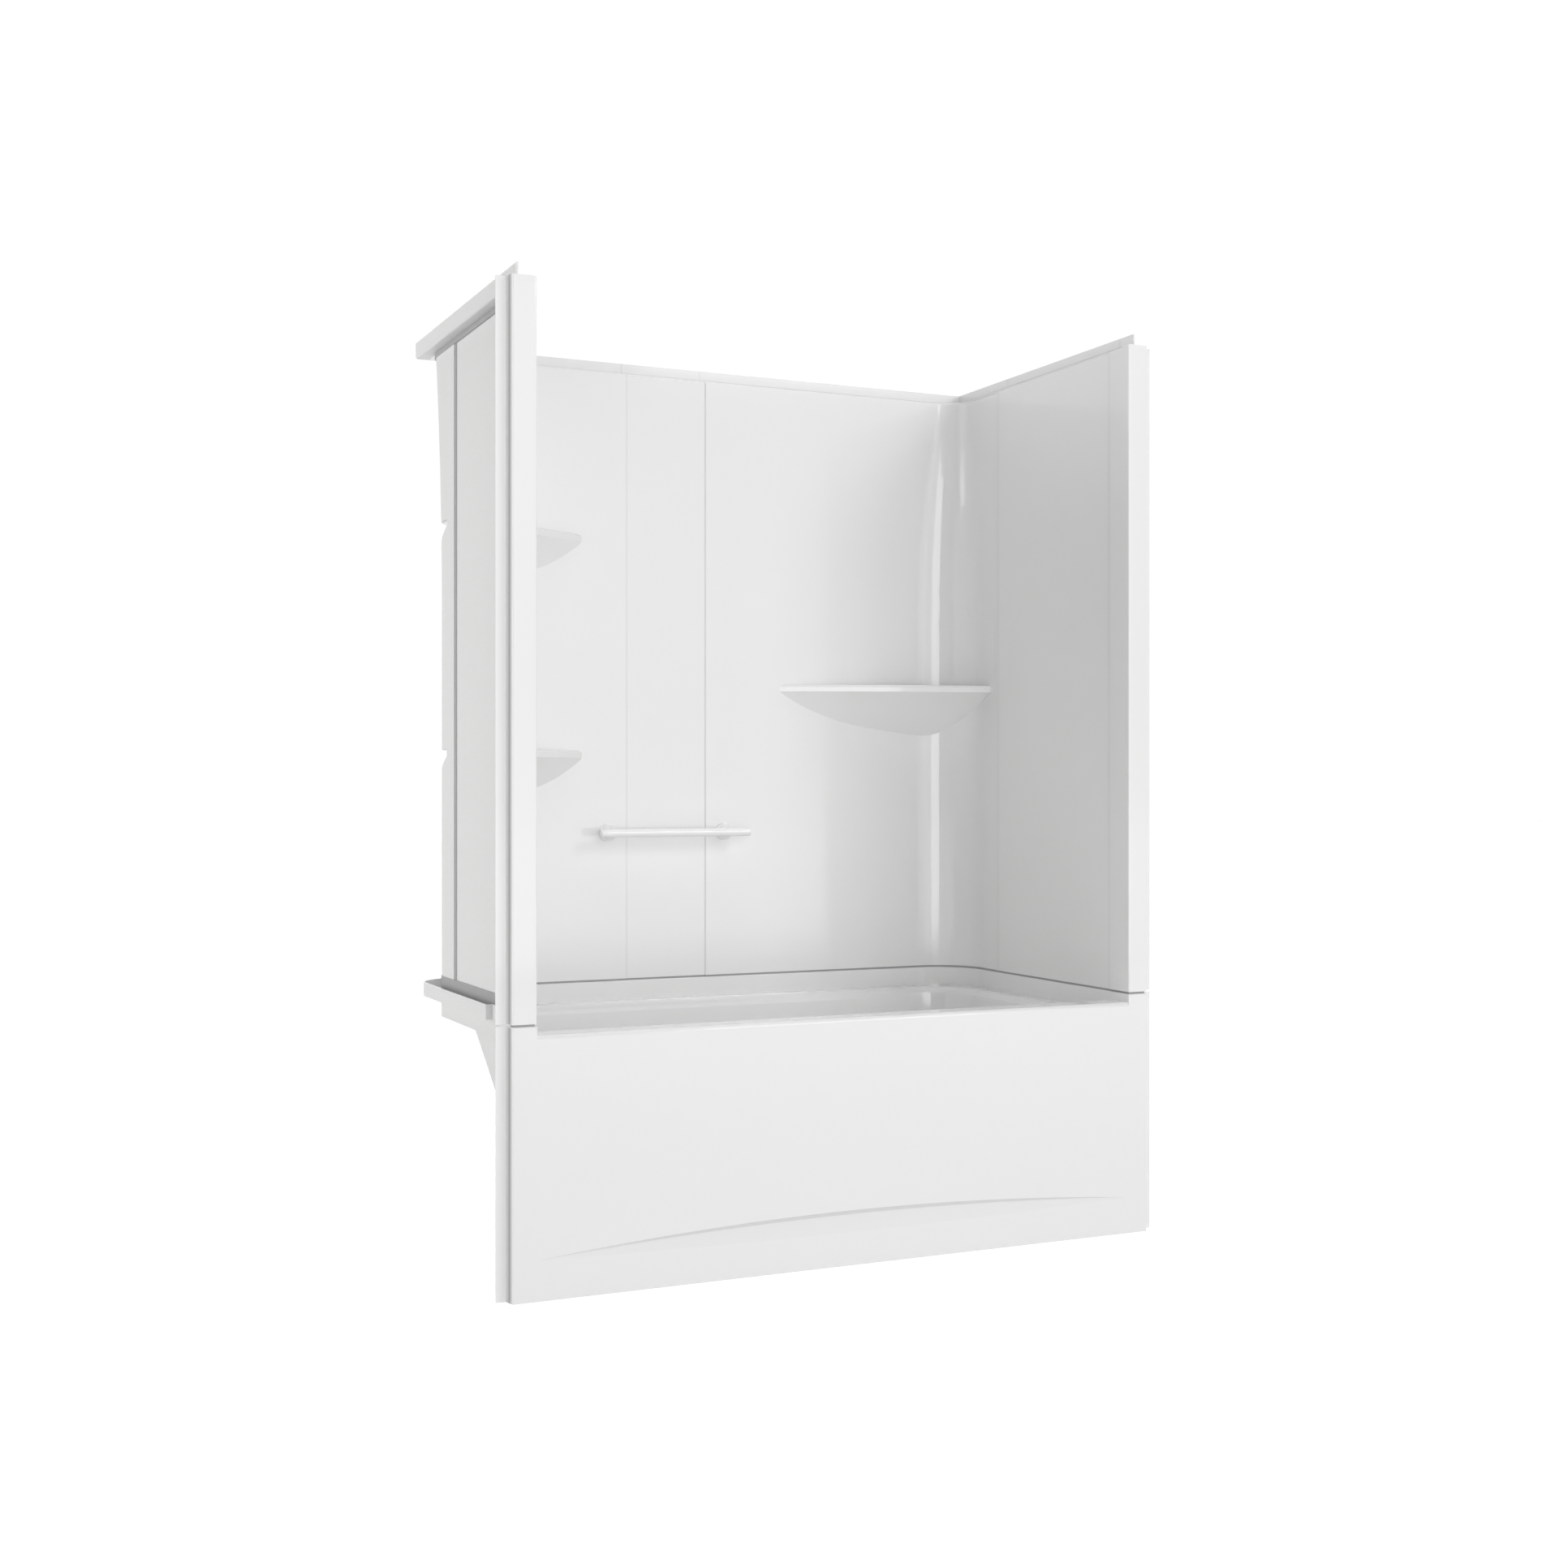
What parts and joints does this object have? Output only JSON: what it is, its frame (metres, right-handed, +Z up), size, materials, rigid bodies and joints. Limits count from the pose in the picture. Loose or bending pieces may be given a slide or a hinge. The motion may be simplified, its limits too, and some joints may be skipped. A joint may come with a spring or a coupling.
{
  "type": "tub and shower unit",
  "caption": "Alcove tub with integral apron under a three-sided moulded surround with corner shelves, a towel bar and a capping rail.",
  "frame": {"origin": "middle of the footprint's bounding box, on the floor", "axes": "+X from the backrest end to the drain end, +Y from the open front to the back wall, +Z up"},
  "size_m": [1.524, 0.807, 2.0125],
  "materials": {
    "acrylic": "gloss white",
    "bar_acrylic": "gloss white",
    "gasket": "matt grey",
    "sealant": "satin light grey",
    "board": "raw board",
    "brace_wood": "raw softwood",
    "feet": "moulded matt",
    "plate_steel": "zinc plated"
  },
  "bodies": {
    "root": {"tub_shell": "acrylic", "base_board": "board", "support_feet": "feet", "apron_braces": "brace_wood", "left_end_panel": "acrylic", "right_end_panel": "acrylic", "left_corner_panel": "acrylic", "right_corner_panel": "acrylic", "centre_back_panel": "acrylic", "top_rail": "acrylic", "wall_gasket": "gasket", "rail_gasket": "gasket", "left_end_seam_seal": "sealant", "right_end_seam_seal": "sealant", "left_back_seam_seal": "sealant", "right_back_seam_seal": "sealant", "towel_bar": "bar_acrylic", "left_bar_post": "bar_acrylic", "right_bar_post": "bar_acrylic", "bar_backing_plates": "plate_steel", "bar_screws": "plate_steel"}
  },
  "joints": []
}
